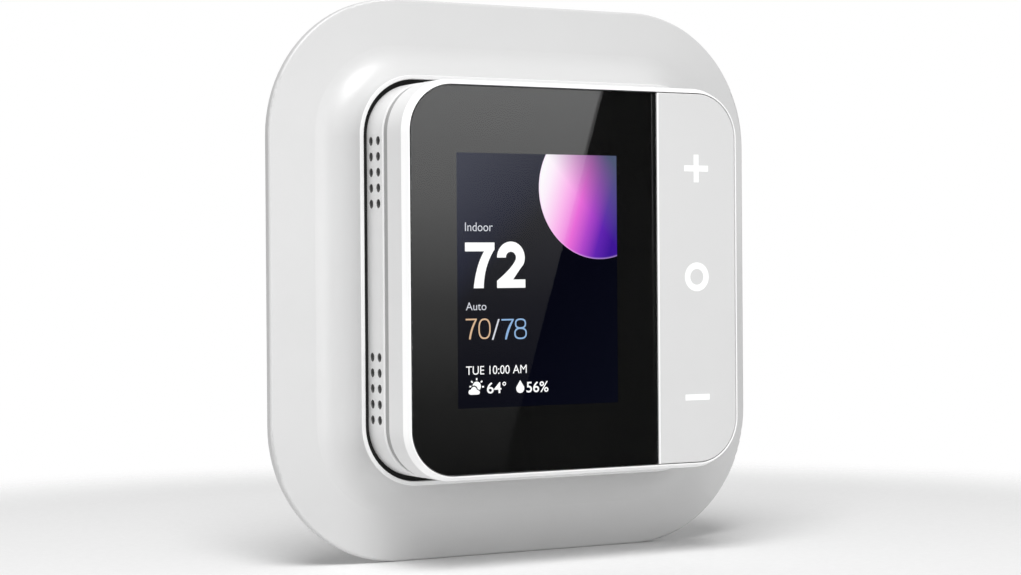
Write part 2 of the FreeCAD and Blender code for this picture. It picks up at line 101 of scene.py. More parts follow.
def add(tree, kind, settings=None, links=None, stops=()):
    """A shader node. A key that is an input's name or number sets that input. Stops are a place and a hex."""
    node = tree.nodes.new("ShaderNode" + kind)
    for key, value in (settings or {}).items():
        if isinstance(key, int) or key in node.inputs:
            node.inputs[key].default_value = value
        else:
            setattr(node, key, value)
    for key, source in (links or {}).items():
        tree.links.new(source, node.inputs[key])
    if stops:
        marks = node.color_ramp.elements
        while len(marks) < len(stops):
            marks.new(0.5)
        for mark, (place, colour) in zip(marks, stops):
            mark.position = place
            mark.color = linear(colour)
    return node


def finish(name, settings):
    """A new material with one Principled shader. Returns the material, its tree and the shader."""
    material = bpy.data.materials.new(name)
    material.use_nodes = True
    tree = material.node_tree
    tree.nodes.clear()
    shader = add(tree, "BsdfPrincipled", settings)
    add(tree, "OutputMaterial", links={"Surface": shader.outputs[0]})
    return material, tree, shader


def wear(material, *node_names):
    """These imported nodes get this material. Their shapes stay as they are."""
    for node_name in node_names:
        nodes[node_name].data.materials.clear()
        nodes[node_name].data.materials.append(material)
    print(material.name, "on", len(node_names))


# %% [markdown]
# **Moulded plastic.** The shells are injection-moulded ABS. The mould is spark-eroded, which leaves a
# grain of about 0.1 mm: too fine to see as bumps, but it makes the gloss soft and a little uneven. So
# the recipe is a plain colour that drifts by a few percent, a roughness that drifts, and a faint bump. The
# grain is drawn at 0.4 mm so that it still shows in a picture of the whole object.

# %% Moulded plastic
FLOW = 14 * MM     # the melt flows into the mould in faint clouds about this wide
CLOUD = 0.965      # the darkest of them, as a share of the colour's light
GLOSS_DRIFT = 0.03
GRAIN_BUMP = 0.25


def painted_zone(tree, place, tint, low, high, colour):
    """The tint, with another colour inside the box between two corners in millimetres."""
    middle = [(p + q) / 2 * MM for p, q in zip(low, high)]
    half = [(q - p) / 2 * MM for p, q in zip(low, high)]
    offset = add(tree, "VectorMath", {"operation": "SUBTRACT", 1: middle}, {0: place.outputs["Object"]})
    size = add(tree, "VectorMath", {"operation": "ABSOLUTE"}, {0: offset.outputs[0]})
    past = add(tree, "VectorMath", {"operation": "SUBTRACT", 1: half}, {0: size.outputs[0]})
    axes = add(tree, "SeparateXYZ", links={"Vector": past.outputs[0]})
    worst = add(tree, "Math", {"operation": "MAXIMUM"}, {0: axes.outputs["X"], 1: axes.outputs["Y"]})
    worst = add(tree, "Math", {"operation": "MAXIMUM"}, {0: worst.outputs[0], 1: axes.outputs["Z"]})
    inside = add(tree, "Math", {"operation": "LESS_THAN", 1: 0.0}, {0: worst.outputs[0]})
    return add(tree, "MixRGB", {"Color2": linear(colour)},
               {"Fac": inside.outputs[0], "Color1": tint.outputs[0]})


def moulded(name, colour, roughness, ior=1.53, grain_mm=0.4, bump_mm=0.004, zones=()):
    """Moulded plastic. A zone is two corners of a box and the colour inside it."""
    material, tree, shader = finish(name, {"IOR": ior})
    place = add(tree, "TexCoord")
    fine = add(tree, "TexNoise", {"Scale": 1 / (grain_mm * MM), "Detail": 2.0},
               {"Vector": place.outputs["Object"]})
    broad = add(tree, "TexNoise", {"Scale": 1 / FLOW, "Detail": 2.0}, {"Vector": place.outputs["Object"]})
    tint = add(tree, "MixRGB", {"Color1": linear(colour), "Color2": darker(linear(colour), CLOUD)},
               {"Fac": broad.outputs["Fac"]})
    for low, high, zone_colour in zones:
        tint = painted_zone(tree, place, tint, low, high, zone_colour)
    rough = add(tree, "MapRange", {"To Min": roughness - GLOSS_DRIFT, "To Max": roughness + GLOSS_DRIFT},
                {"Value": fine.outputs["Fac"]})
    bump = add(tree, "Bump", {"Strength": GRAIN_BUMP, "Distance": bump_mm * MM},
               {"Height": fine.outputs["Fac"]})
    tree.links.new(tint.outputs[0], shader.inputs["Base Color"])
    tree.links.new(rough.outputs[0], shader.inputs["Roughness"])
    tree.links.new(bump.outputs[0], shader.inputs["Normal"])
    return material


# %% [markdown]
# ** The white mouldings.** Their colour isn't alike all over: these zones are painted light and shade. The
# groove between the two halves of the head is painted darker, as painted shade under the front shell's step;
# the narrow bezel round the glass is painted whiter, a painted highlight for the light its chamfer catches;
# the vents are painted dark inside, as painted shade in and behind the holes; the face of the collar's lip is
# painted paler than the flare, a painted highlight; and the strip's edge beside the glass is painted near
# white, a painted highlight. Each could be a separate mesh, but the imported shapes stay whole. So each is a
# box in space with its own colour.

# %% White mouldings
ALL = 60            # a zone that reaches this far each way, in millimetres, takes in the whole head
# Painted shade: the inside of the rear shell, in and behind the vents, is painted mid grey.
PAINTED_VENT_SHADE = ((-47.9, -17.95, -35.2), (47.9, -12.0, 35.2))
# Painted shade: the groove under the front shell's step is painted darker.
PAINTED_GROOVE_SHADE = ((-ALL, -21.69, -ALL), (ALL, -19.32, ALL))
# Painted highlight: the bezel round the glass is painted whiter, for the light its chamfer catches.
PAINTED_BEZEL_HIGHLIGHT = ((-ALL, -31.5, -ALL), (ALL, -29.06, ALL))
# Painted highlight: the face of the collar's lip is painted paler than the flare.
PAINTED_LIP_HIGHLIGHT = ((-50.5, -12.3, -50.5), (50.5, -11.95, 50.5))
# Painted highlight: the strip's edge beside the glass is painted near white.
PAINTED_EDGE_HIGHLIGHT = ((22.9, -40, -ALL), (23.41, 0, ALL))

# Satin ABS: broad, soft highlights without a sharp reflection.
rear_abs = moulded("white satin ABS, rear shell", "EAEAEA", 0.34, zones=[(*PAINTED_VENT_SHADE, "707070")])
front_abs = moulded("white satin ABS, front shell", "EAEAEA", 0.34,
                    zones=[(*PAINTED_GROOVE_SHADE, "9E9E9E"), (*PAINTED_BEZEL_HIGHLIGHT, "FAFAFA")])
# The plate is a shade greyer, and its higher IOR lets the curve of the flare catch the light.
plate_abs = moulded("white satin ABS, trim plate", "CECECE", 0.36, 1.6, zones=[(*PAINTED_LIP_HIGHLIGHT, "E4E4E4")])
# The strip is rougher, so it is an even light grey beside the mirror of the glass.
key_abs = moulded("light grey satin ABS", "D5D5D5", 0.42, zones=[(*PAINTED_EDGE_HIGHLIGHT, "FAFAFA")])
# The signs are inlays in pure white with more gloss, so they stand out from the grey.
symbol_white = moulded("gloss white inlay", "FFFFFF", 0.25)

wear(plate_abs, "trim_plate")
wear(rear_abs, "rear_shell")
wear(front_abs, "front_shell")
wear(key_abs, "key_panel")
wear(symbol_white, "key_symbol_plus", "key_symbol_select", "key_symbol_minus")

# %% [markdown]
# **Plastics behind the head.** These are seen by the person who wires the thermostat, so colour tells
# the parts apart: grey terminals, orange levers to push, black sockets. Nylon has a slightly waxy gloss.
# The foam has almost none, because its cells swallow the light.

# %% Plastics behind the head
base_abs = moulded("grey-white ABS", "DADAD6", 0.5)           # unpolished: flat, and a little warm
terminal_nylon = moulded("grey nylon", "6B6F73", 0.5)         # a quiet grey that lets the levers show
lever_nylon = moulded("orange nylon", "E0761C", 0.42)         # a signal colour with a soft shine
black_nylon = moulded("black nylon", "17181A", 0.45)          # only its edges shine
cream_nylon = moulded("cream nylon", "E6DEC2", 0.45)          # undyed, so slightly yellow
relay_pbt = moulded("grey PBT relay case", "D5D6D2", 0.4)     # pale and smooth
foam = moulded("black foam and painted gap shade", "0A0A0A", 0.95, grain_mm=0.7, bump_mm=0.2)    # no gloss, open cells
tape = moulded("black acrylic foam tape", "0E0E0F", 0.7)      # a dull dark line round the glass
mark_ink = moulded("white pad print", "F2F2EE", 0.6)          # chalky white letters
diffuser = moulded("milky light guide", "F6F6F0", 0.3)        # bright and smooth

wear(base_abs, "base_plate", "key_frame", "key_carrier")
wear(terminal_nylon, "terminal_block_left", "terminal_block_right")
wear(lever_nylon, *(name for name in nodes if name.startswith("lever_")))
wear(black_nylon, "base_socket", "pin_header", "jumper_housing", "buzzer")
wear(cream_nylon, "jumper_slider", "lcd_connector")
wear(relay_pbt, "relays")
# Painted shade: the draught seal is black so that the gap between the head and the collar reads as deep
# shade.
wear(foam, "sensor_baffle", "draught_seal")
wear(tape, "glass_tape")
wear(diffuser, "lcd_backlight")

# %% [markdown]
# **Metal.** Screws are zinc plated, springs and domes are rolled stainless steel, the terminal sleeves are
# brass and the pins are flashed with gold. Rolling and plating leave fine lines along one direction, so a
# noise stretched along X moves the roughness up and down. Real lines are finer than a hair. These are
# drawn coarser so that they show. Metals keep the shader's default IOR.

# %% Metals
STREAK = 3 * MM
ALONG_X = (1, 12, 12)     # a line is twelve times as long as it is wide
STREAK_SHADE = 0.82
STREAK_GLOSS = 0.08


def rolled(name, colour, roughness):
    """Rolled or plated metal with lines along X."""
    material, tree, shader = finish(name, {"Metallic": 1.0})
    place = add(tree, "TexCoord")
    lines = add(tree, "Mapping", {"Scale": ALONG_X}, {"Vector": place.outputs["Object"]})
    streak = add(tree, "TexNoise", {"Scale": 1 / STREAK, "Detail": 3.0}, {"Vector": lines.outputs[0]})
    tint = add(tree, "MixRGB", {"Color1": linear(colour), "Color2": darker(linear(colour), STREAK_SHADE)},
               {"Fac": streak.outputs["Fac"]})
    rough = add(tree, "MapRange", {"To Min": roughness - STREAK_GLOSS, "To Max": roughness + STREAK_GLOSS},
                {"Value": streak.outputs["Fac"]})
    tree.links.new(tint.outputs[0], shader.inputs["Base Color"])
    tree.links.new(rough.outputs[0], shader.inputs["Roughness"])
    return material


zinc = rolled("zinc-plated steel", "C9CCCE", 0.34)                 # cool and bright, a little milky
spring_steel = rolled("rolled stainless steel", "BDBDBA", 0.28)    # darker and sharper than zinc
tinned = rolled("tinned steel", "C8C8C2", 0.38)                    # dull silver
brass = rolled("rolled brass", "D2B066", 0.32)                     # yellow with soft lines
gold = rolled("gold flash", "E3BE6A", 0.25)                        # the richest and smoothest metal here
can_aluminium = rolled("drawn aluminium", "D2D3D5", 0.3)           # pale grey

wear(zinc, "base_screws", "board_screws", "head_screws", "key_frame_screws", "key_pivot_pin")
wear(spring_steel, "latch_springs", "dome_plus", "dome_select", "dome_minus")
wear(tinned, "lcd_frame", "wifi_shield", "humidity_sensor")
wear(brass, "terminal_clamps")
wear(gold, "header_pins")
wear(can_aluminium, "capacitors")

# %% [markdown]
# **Circuit boards.** A board is glass-fibre laminate under green solder mask. Copper tracks below the mask
# show as a lighter green. A square Voronoi pattern with thin borders gives the look of tracks and pads
# 2.54 mm apart, which is the pitch that through-hole parts use.

# %% Boards, chips and ribbon
PIN_PITCH = 2.54 * MM
TRACK_HEIGHT = 0.03 * MM


def solder_mask(name, board, track):
    """Solder mask over copper: coloured laminate under a clear gloss, with the tracks a little raised."""
    material, tree, shader = finish(name, {"IOR": 1.55, "Roughness": 0.28, "Coat Weight": 0.4,
                                           "Coat Roughness": 0.12})
    place = add(tree, "TexCoord")
    cells = add(tree, "TexVoronoi", {"feature": "F1", "distance": "CHEBYCHEV", "Scale": 1 / PIN_PITCH,
                                     "Randomness": 0.55}, {"Vector": place.outputs["Object"]})
    copper = add(tree, "ValToRGB", links={"Fac": cells.outputs["Distance"]},
                 stops=[(0.0, track), (0.12, track), (0.16, board), (0.5, board), (0.56, track),
                        (0.7, track)])
    bump = add(tree, "Bump", {"Strength": 0.4, "Distance": TRACK_HEIGHT},
               {"Height": cells.outputs["Distance"]})
    tree.links.new(copper.outputs[0], shader.inputs["Base Color"])
    tree.links.new(bump.outputs[0], shader.inputs["Normal"])
    return material


green_board = solder_mask("green solder mask on laminate", "0F4A2C", "2B7D50")
epoxy = moulded("black chip epoxy", "141416", 0.55, grain_mm=0.25)    # matt black with a fine tooth
ribbon = moulded("amber polyimide ribbon", "A8661E", 0.3)             # a glossy brown film

wear(green_board, "base_board", "main_board", "wifi_module", "sensor_board", "key_board")
wear(epoxy, "processor", "memory_chip")
wear(ribbon, "lcd_flex")

# %% [markdown]
# ** Glass and black print.** The front is 1.5 mm float glass. Its back is screen-printed black round a clear
# window, and it is bonded to the display with no air behind it. Light must therefore meet glass only
# once. A closed slab would reflect twice, at its front and again at its back, so the slab is redrawn from
# the imported node with its back pushed a little past the printed face and the display. The front and the
# outline stay as they were. The ground edge is blacked, as the back is, so that no light shows at it. The
# black edge is also painted shade, for the dark gap line between the glass and the strip.

# %% Glass and print
SMEAR, SPECK = 25 * MM, 0.3 * MM

# Float glass is colourless and mirror-smooth. A faint film of finger grease softens it here and there.
glass_finish, tree, shader = finish("float glass", {"Transmission Weight": 1.0, "IOR": 1.5, "Roughness": 0.0,
                                                     "Base Color": linear("FDFEFE")})
place = add(tree, "TexCoord")
smear = add(tree, "TexNoise", {"Scale": 1 / SMEAR, "Detail": 2.0}, {"Vector": place.outputs["Object"]})
film = add(tree, "MapRange", {"To Min": 0.0, "To Max": 0.02}, {"Value": smear.outputs["Fac"]})
tree.links.new(film.outputs[0], shader.inputs["Roughness"])

# Enamel-like ink on glass: a deep black that still mirrors. The high IOR matches how strongly it does.
print_finish, tree, shader = finish("screen-printed black", {"IOR": 1.86, "Roughness": 0.02})
place = add(tree, "TexCoord")
speck = add(tree, "TexNoise", {"Scale": 1 / SPECK, "Detail": 2.0}, {"Vector": place.outputs["Object"]})
ink = add(tree, "ValToRGB", links={"Fac": speck.outputs["Fac"]}, stops=[(0.3, "131312"), (0.7, "161615")])
tree.links.new(ink.outputs[0], shader.inputs["Base Color"])
wear(print_finish, "glass_print")

# %% Glass slab
BOND = 0.04 * MM            # how far the slab's back goes behind the face of the display
SAME_PLANE = 1e-6           # in metres
WALL_TILT = 0.1             # the normal of a side wall has less Y in it than this
CLEAR_EDGE = 0.2 * MM       # the front bevel, as deep as this, stays clear
glass_low, glass_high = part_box("cover_glass")
face_y = glass_low.y
display_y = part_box("lcd_panel")[0].y
glass_mesh = nodes["cover_glass"].data.copy()
for vertex in glass_mesh.vertices:
    if abs(vertex.co.y - glass_high.y) < SAME_PLANE:
        vertex.co.y = display_y + BOND
glass_mesh.materials.clear()
glass_mesh.materials.append(glass_finish)
glass_mesh.materials.append(print_finish)
# Partly painted shade: the blacked side walls also give the dark gap line beside the strip.
for face in glass_mesh.polygons:
    if abs(face.normal.y) < WALL_TILT and face.center.y > face_y + CLEAR_EDGE:
        face.material_index = 1
glass_front = bpy.data.objects.new("glass_front", glass_mesh)
bpy.context.scene.collection.objects.link(glass_front)
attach(glass_front, "head")
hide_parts("cover_glass")
print("glass stands", round(-face_y / MM, 2), "mm off the wall")

# %% [markdown]
# **The lit display.** A liquid-crystal panel is dark until its backlight is on, so the picture is light
# that the panel gives off. The panel itself carries the dark blue ground, which is lighter towards its
# top left corner. Words, numbers and signs are separate thin pieces just in front of it, because real
# outlines stay sharp at any distance, where a painted texture would need an image.

# %% Display ground
# Switched-on liquid crystal: near black with a blue cast, and it doesn't take part in the glass's mirror.
ground, tree, shader = finish("lit display ground", {"Base Color": linear("020204"), "Roughness": 0.5,
                                                     "Specular IOR Level": 0.0, "Emission Strength": 1.0})
place = add(tree, "TexCoord")
slope = add(tree, "VectorMath", {"operation": "DOT_PRODUCT", 1: (-1, 0, 1)}, {0: place.outputs["Object"]})
height = add(tree, "MapRange", {"From Min": -40 * MM, "From Max": 60 * MM},
             {"Value": slope.outputs["Value"]})
sky = add(tree, "ValToRGB", links={"Fac": height.outputs[0]},
          stops=[(0.0, "060815"), (0.4, "02030F"), (0.66, "03040F"), (0.77, "12162B"), (1.0, "2E3141")])
tree.links.new(sky.outputs[0], shader.inputs["Emission Color"])
wear(ground, "lcd_panel")

# %% Display light
DOT = 0.19 * MM      # the pitch of the panel's dots, which are seen as a very faint texture


def lit(name, colour, strength=1.0):
    """Light given off by the panel. The tiny noise is the panel's own dot pattern."""
    material, tree, shader = finish(name, {"Base Color": BLACK, "Roughness": 0.6,
                                           "Specular IOR Level": 0.0, "Emission Strength": strength})
    place = add(tree, "TexCoord")
    dots = add(tree, "TexNoise", {"Scale": 1 / DOT, "Detail": 0.0}, {"Vector": place.outputs["Object"]})
    tone = add(tree, "MixRGB", {"Color1": linear(colour), "Color2": darker(linear(colour), 0.97)},
               {"Fac": dots.outputs["Fac"]})
    tree.links.new(tone.outputs[0], shader.inputs["Emission Color"])
    return material


lit_white = lit("lit white", "FFFFFF", 1.1)      # the brightest thing on the display
lit_soft = lit("lit soft white", "DDE0E8")       # small words step back a little
lit_peach = lit("lit peach", "E0BC98")           # warm, for heating
lit_blue = lit("lit light blue", "92B8E2")       # cool, for cooling

# %% [markdown]
# Lettering is Blender text turned into a thin solid and then fitted to its place: left edge, right edge,
# baseline and capital height. The figures of a display are narrow, and fitting both ways narrows them.
# A small outline offset makes a face bolder or lighter.

# %% Display lettering
PICTURE_SHIFT = 0.62 * MM    # moves the whole picture right, to where it is seen through the glass
LETTER_DEPTH = 0.012 * MM
LAYER = 0.02 * MM            # each layer of pieces stands this much further in front
EXTRUDE = 0.02               # half the thickness of a word, in ems


def show(name, mesh, material, body="head"):
    """A finished mesh becomes a piece that moves with this body."""
    mesh.materials.clear()
    mesh.materials.append(material)
    piece = bpy.data.objects.new(name, mesh)
    bpy.context.scene.collection.objects.link(piece)
    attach(piece, body)
    return piece


def word(name, text, weight=0.0):
    """A word as a mesh one em high, with its left, lower, right and upper edges."""
    curve = bpy.data.curves.new(name, "FONT")
    curve.body = text
    curve.size = 1.0
    curve.offset = weight
    curve.extrude = EXTRUDE
    curve.resolution_u = 6
    carrier = bpy.data.objects.new(name + "_curve", curve)
    bpy.context.scene.collection.objects.link(carrier)
    bpy.context.view_layer.update()
    mesh = bpy.data.meshes.new_from_object(carrier.evaluated_get(bpy.context.evaluated_depsgraph_get()))
    bpy.data.objects.remove(carrier)
    xs = [v.co.x for v in mesh.vertices]
    ys = [v.co.y for v in mesh.vertices]
    return mesh, (min(xs), min(ys), max(xs), max(ys))


def lettering(name, text, left, right, base, cap, material, weight=0.0, layer=1):
    """Text fitted between left and right with its baseline and capital height, all in millimetres."""
    mesh, (x0, z0, x1, z1) = word(name, text, weight)
    low = z0 if text.isdigit() else min(0.0, z0)
    front = display_y - layer * LAYER
    for v in mesh.vertices:
        x = (v.co.x - x0) / (x1 - x0) * (right - left) + left
        z = (v.co.y - low) / (z1 - low) * cap + base
        v.co = Vector((x * MM + PICTURE_SHIFT, front - v.co.z / EXTRUDE * LETTER_DEPTH / 2, z * MM))
    return show(name, mesh, material)


lettering("display_room_word", "Indoor", -32.1, -24.5, 11.7, 2.1, lit_soft, -0.004)
lettering("display_mode_word", "Auto", -32.0, -26.4, -7.25, 1.9, lit_soft, -0.004)
lettering("display_time", "TUE 10:00 AM", -32.1, -15.3, -22.7, 2.07, lit_white)
lettering("display_outside", "64", -26.4, -22.4, -27.35, 2.7, lit_white, 0.01)
lettering("display_humidity", "56%", -15.4, -9.2, -27.45, 2.65, lit_white, 0.01)
print("one layer is", round(LAYER / MM, 3), "mm and a letter", round(LETTER_DEPTH / MM, 3), "mm thick")

# %% [markdown]
# The weather signs and the disc are plain shapes: circles, rays and a drop. A helper turns a list of corner
# points into a thin prism. The disc is cut off by the top and the right edge of the picture, so its
# outline is an arc that ends on those edges.

# %% Display signs


def arc(x, z, radius, start, stop, steps=48):
    """Points along an arc, in degrees anticlockwise from +X as seen from the room."""
    return [(x + radius * cos(radians(start + (stop - start) * i / steps)),
             z + radius * sin(radians(start + (stop - start) * i / steps))) for i in range(steps + 1)]


def prisms(name, outlines, material, layer=1):
    """One thin prism per outline, joined in one mesh on the display."""
    front = display_y - layer * LAYER - LETTER_DEPTH / 2
    vertices, faces = [], []
    for points in outlines:
        first, count = len(vertices), len(points)
        for y in (front, front + LETTER_DEPTH):
            vertices += [(x * MM + PICTURE_SHIFT, y, z * MM) for x, z in points]
        faces.append([first + i for i in range(count)])
        faces.append([first + count + i for i in reversed(range(count))])
        for i in range(count):
            j = (i + 1) % count
            faces.append([first + i, first + count + i, first + count + j, first + j])
    mesh = bpy.data.meshes.new(name)
    mesh.from_pydata(vertices, [], faces)
    mesh.update()
    return show(name, mesh, material)


# %% [markdown]
# The large and the thin figures are drawn as outlines, because the built-in typeface has no sevens and
# twos of this shape. Each is given by its edges, its height and the width of its pen, all in
# millimetres. The other numbers are shares of those.

# %% Display figures


def bend(start, control, stop, steps=14):
    """Points along a curve that leaves start and reaches stop, both towards the control point."""
    return [tuple((1 - t) ** 2 * Vector(start) + 2 * t * (1 - t) * Vector(control) + t * t * Vector(stop))
            for t in (i / steps for i in range(steps + 1))]


def seven(left, right, base, cap, pen):
    """A seven: a bar, and a leg that bends down from the bar's right end."""
    top, foot = base + cap, left + (right - left) * 0.285
    outside = bend((right, top - pen * 0.78), (right - cap * 0.27, top - cap * 0.52),
                   (foot + pen * 1.3, base))
    inside = bend((foot, base), (foot + cap * 0.06, top - cap * 0.5), (right - pen * 1.36, top - pen))
    return [[(left, top), (right, top)] + outside + inside + [(left, top - pen)]]


def two(left, right, base, cap, pen):
    """A two: a bowl, a neck that bends down to the left, and a foot."""
    half = (right - left) / 2
    middle, high = (left + right) / 2 - pen * 0.02, base + cap - half * 0.98
    neck = (right - pen * 1.6, base + pen * 0.95)
    outer = arc(middle, high, half * 0.98, 180, -28, 32)
    inner = arc(middle, high, half * 0.98 - pen * 1.16, -24, 180, 24)
    return [outer + bend(outer[-1], (right - pen * 0.55, high - pen * 1.1), neck)
            + [(right, base + pen * 0.95), (right, base), (left, base), (left, base + pen * 0.82)]
            + bend((left, base + pen * 0.82), (middle + pen * 0.1, base + cap * 0.42), inner[0]) + inner]


def blunt(v, power=0.8):
    """A sine or cosine pushed outwards. A power below one squares a ring's shoulders."""
    return abs(v) ** power * (1 if v > 0 else -1)


def ring(x, z, half_wide, half_tall, pen, steps=40):
    """An oval line as a band of four-cornered pieces."""
    def point(i, inset):
        a = 2 * pi * i / steps
        return (x + (half_wide - inset) * blunt(cos(a)), z + (half_tall - inset) * blunt(sin(a)))
    return [[point(i, 0), point(i + 1, 0), point(i + 1, pen), point(i, pen)] for i in range(steps)]


BOLD, FINE = 2.13, 0.37    # the widths of the two pens
prisms("display_room_temperature", seven(-32.15, -24.04, -1.97, 10.97, BOLD)
       + two(-23.4, -15.5, -1.97, 11.2, BOLD), lit_white)
HEAT_Z, COOL_Z, TALL = -14.2, -14.42, 4.95
prisms("display_heat_to", seven(-32.1, -29.05, HEAT_Z, TALL, FINE)
       + ring(-26.95, HEAT_Z + TALL / 2, 1.68, TALL / 2, FINE), lit_peach)
SLASH_FOOT, SLASH_LEAN, SLASH_WIDE = -24.95, 1.75, 0.45
prisms("display_slash", [[(SLASH_FOOT, COOL_Z), (SLASH_FOOT + SLASH_WIDE, COOL_Z),
                          (SLASH_FOOT + SLASH_WIDE + SLASH_LEAN, COOL_Z + TALL),
                          (SLASH_FOOT + SLASH_LEAN, COOL_Z + TALL)]], lit_soft)
prisms("display_cool_to", seven(-22.25, -18.85, COOL_Z, TALL, FINE)
       + ring(-16.95, COOL_Z + TALL * 0.285, 1.75, TALL * 0.285, FINE)
       + ring(-16.95, COOL_Z + TALL * 0.76, 1.55, TALL * 0.24 + 0.06, FINE), lit_blue)

# %% Weather signs
SUN = (-29.2, -25.5)
sun = [arc(*SUN, 1.15, -60, 190)[:-1]]
for turn in (-5, 40, 90, 140, 180):
    a = radians(turn)
    along, side = Vector((cos(a), sin(a))), Vector((-sin(a), cos(a))) * 0.19
    root, tip = Vector(SUN) + along * 1.45, Vector(SUN) + along * 2.0
    sun.append([tuple(root - side), tuple(tip - side), tuple(tip + side), tuple(root + side)])
prisms("display_sun", sun, lit_white)


def cloud(grow):
    """Three puffs of a cloud, each grown by this much."""
    return [arc(-30.85, -26.85, 0.62 + grow, 90, 270, 16) + arc(-28.9, -26.95, 0.52 + grow, 270, 400, 16)
            + arc(-30.0, -26.35, 0.78 + grow, 10, 150, 16)]


EDGE = 0.3           # a dark edge of this width parts the cloud from the sun behind it
prisms("display_cloud_edge", cloud(EDGE), ground, 2)
prisms("display_cloud", cloud(0), lit_white, 3)

DROP = (-17.15, -26.35)
drop = [(DROP[0], DROP[1] + 2.0)] + arc(*DROP, 1.13, 158, 382, 32)
prisms("display_drop", [drop], lit_white)
DEGREE, SIDES = (-21.6, -25.1), 24
outer = arc(*DEGREE, 0.5, 0, 360, SIDES)[:-1]
inner = arc(*DEGREE, 0.24, 0, 360, SIDES)[:-1]
pairs = [(i, (i + 1) % SIDES) for i in range(SIDES)]
prisms("display_degree", [[outer[i], outer[j], inner[j], inner[i]] for i, j in pairs], lit_white)

# %% [markdown]
# The disc glows like a soft lamp: white at its left rim, pink, then violet at its right. The gradient runs
# along a slanted line through the disc, and a second one darkens the top right. A thin bright line
# follows the rim, which a distance from the centre picks out.

# %% Display disc
DISC = Vector((5.9, 22.3))
DISC_RADIUS = 17.4
RIGHT, TOP = 10.95, 30.6    # the edges of the picture, which cut the disc off
SPAN = DISC_RADIUS * MM
RIM = 0.45                  # the bright line's width, in millimetres
glow, tree, shader = finish("lit gradient disc", {"Base Color": BLACK, "Roughness": 0.6,
                                                  "Specular IOR Level": 0.0, "Emission Strength": 1.0})
place = add(tree, "TexCoord")
centre = (DISC.x * MM + PICTURE_SHIFT, display_y, DISC.y * MM)
centred = add(tree, "VectorMath", {"operation": "SUBTRACT", 1: centre}, {0: place.outputs["Object"]})
across = add(tree, "VectorMath", {"operation": "DOT_PRODUCT", 1: (0.97 / SPAN, 0, -0.32 / SPAN)},
             {0: centred.outputs[0]})
spread = add(tree, "MapRange", {"From Min": -1.0, "From Max": 0.45}, {"Value": across.outputs["Value"]})
hue = add(tree, "ValToRGB", links={"Fac": spread.outputs[0]},
          stops=[(0.0, "FFFFFF"), (0.12, "FFF0FD"), (0.33, "FDB8EF"), (0.52, "EE6FDD"), (0.68, "B349CE"),
                 (0.84, "6426B4"), (1.0, "3F1699")])
upward = add(tree, "VectorMath", {"operation": "DOT_PRODUCT", 1: (0.9 / SPAN, 0, 0.8 / SPAN)},
             {0: centred.outputs[0]})
veil = add(tree, "MapRange", {"From Min": -0.42, "From Max": 0.52, "To Min": 0.0, "To Max": 1.0},
           {"Value": upward.outputs["Value"]})
haze = add(tree, "MixRGB", {"Color2": linear("505A76")}, {"Fac": veil.outputs[0], "Color1": hue.outputs[0]})
reach = add(tree, "VectorMath", {"operation": "LENGTH"}, {0: centred.outputs[0]})
rim = add(tree, "MapRange", {"From Min": (DISC_RADIUS - RIM) * MM, "From Max": DISC_RADIUS * MM,
                             "To Min": 0.0, "To Max": 0.45}, {"Value": reach.outputs["Value"]})
edge = add(tree, "MixRGB", {"Color2": linear("F6C8FF")}, {"Fac": rim.outputs[0], "Color1": haze.outputs[0]})
tree.links.new(edge.outputs[0], shader.inputs["Emission Color"])
top_angle = 180 - degrees(asin((TOP - DISC.y) / DISC_RADIUS))
right_angle = 360 - degrees(acos((RIGHT - DISC.x) / DISC_RADIUS))
prisms("display_disc", [arc(*DISC, DISC_RADIUS, top_angle, right_angle, 96) + [(RIGHT, TOP)]], glow)

# %% [markdown]
# ** Snap domes.** Under the strip sit three thin steel caps, one for each sign. A cap snaps flat when it is
# pushed: the middle one as the strip goes in, the outer two as it rocks. Each packed cap is swapped for a
# copy with its own mesh, which rides with the head.

# %% Snap domes
for node_name, joint in (("dome_select", "key_press"), ("dome_plus", "key_rock"), ("dome_minus", "key_rock")):
    cap = show(node_name + "_cap", nodes[node_name].data.copy(), spring_steel, "head")
    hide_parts(node_name)
    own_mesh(cap)

# %% [markdown]
# **Terminal marks.** Each push lever of the base has the usual letter of its wire beside it, pad-printed
# in white on the grey block. They show once the head is off. The letters come from the built-in typeface.

# %% Terminal marks
block_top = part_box("terminal_block_left")[0].y
marks = {"left": ("R", "C", "W1", "W2", "Y1"), "right": ("Y2", "G", "OB", "L", "S")}
MARK_X, MARK_TALL, INK = 27.2, 2.1, 0.03    # millimetres
for side, sign in (("left", -1), ("right", 1)):
    for row, text in enumerate(marks[side]):
        lever_low, lever_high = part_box(f"lever_{side}_{row + 1}")
        mesh, (x0, z0, x1, z1) = word("mark", text)
        scale = MARK_TALL / (z1 - z0)
        for v in mesh.vertices:
            x = (v.co.x - (x0 + x1) / 2) * scale + sign * MARK_X
            z = (v.co.y - (z0 + z1) / 2) * scale
            y = block_top - (v.co.z + EXTRUDE) / (2 * EXTRUDE) * INK * MM
            v.co = Vector((x * MM, y, z * MM + (lever_low.z + lever_high.z) / 2))
        show(f"terminal_mark_{side}_{row + 1}", mesh, mark_ink, "wall_side")
print("terminal marks", sum(len(row) for row in marks.values()))

# %% [markdown]
# **Floor and backdrop.** The thermostat stands on its lower edge on white paper, in front of white. The
# floor is a plain matte sheet that fades out further off, so no line shows where it ends. The world is
# white where the camera sees it and dimmer where it only lights things, so that it doesn't wash out the
# shape.

